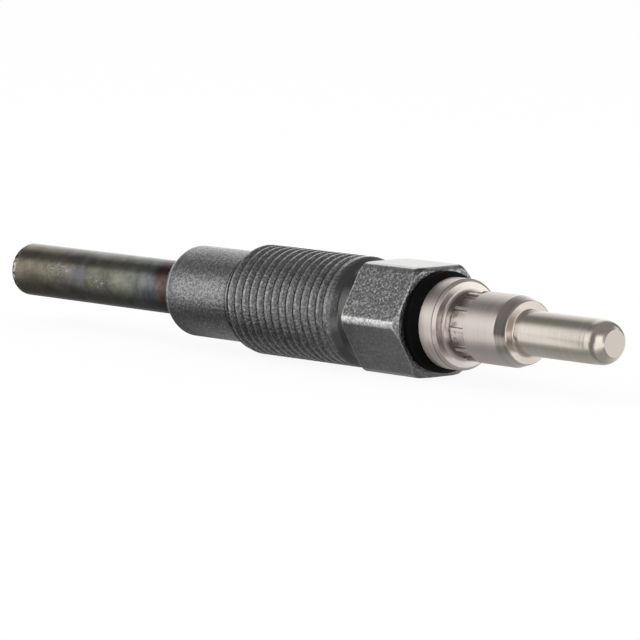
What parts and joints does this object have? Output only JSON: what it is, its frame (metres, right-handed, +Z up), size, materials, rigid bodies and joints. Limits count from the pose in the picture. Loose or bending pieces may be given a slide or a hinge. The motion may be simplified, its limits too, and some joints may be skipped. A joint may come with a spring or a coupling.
{
  "type": "diesel glow plug",
  "caption": "Metal-sheathed diesel glow plug: tubular glow tip, threaded hexagonal shell, black insulator and crimped round terminal with a contact pin.",
  "frame": {"origin": "Centre of the bounding box in X and Y, on the surface under the thread crests in Z", "axes": "+X along the plug's axis from the glow tip to the contact pin, +Z up, hexagon with one flat up and one flat down"},
  "size_m": [0.0798, 0.0108, 0.0099],
  "materials": {
    "phosphated_steel": "dark grey phosphated steel, fine grain, satin",
    "heat_tinted_alloy": "heat-resistant alloy tube, tempered brown and blue by glowing",
    "resistance_alloy": "drawn resistance wire",
    "nickel_wire": "drawn nickel wire",
    "packed_magnesia": "compacted white powder",
    "red_silicone": "matt moulded silicone",
    "plain_steel": "turned bright steel",
    "black_rubber": "smooth black rubber",
    "black_plastic": "matt black moulded thermoset",
    "nickel_plate": "nickel-plated, satin with turning lines"
  },
  "bodies": {
    "root": {"shell": "phosphated_steel", "glow_tube": "heat_tinted_alloy", "heating_coil": "resistance_alloy", "control_coil": "nickel_wire", "insulating_powder": "packed_magnesia", "tube_seal": "red_silicone", "terminal_rod": "plain_steel", "o_ring": "black_rubber", "insulating_washer": "black_plastic", "terminal_nut": "nickel_plate"}
  },
  "joints": []
}
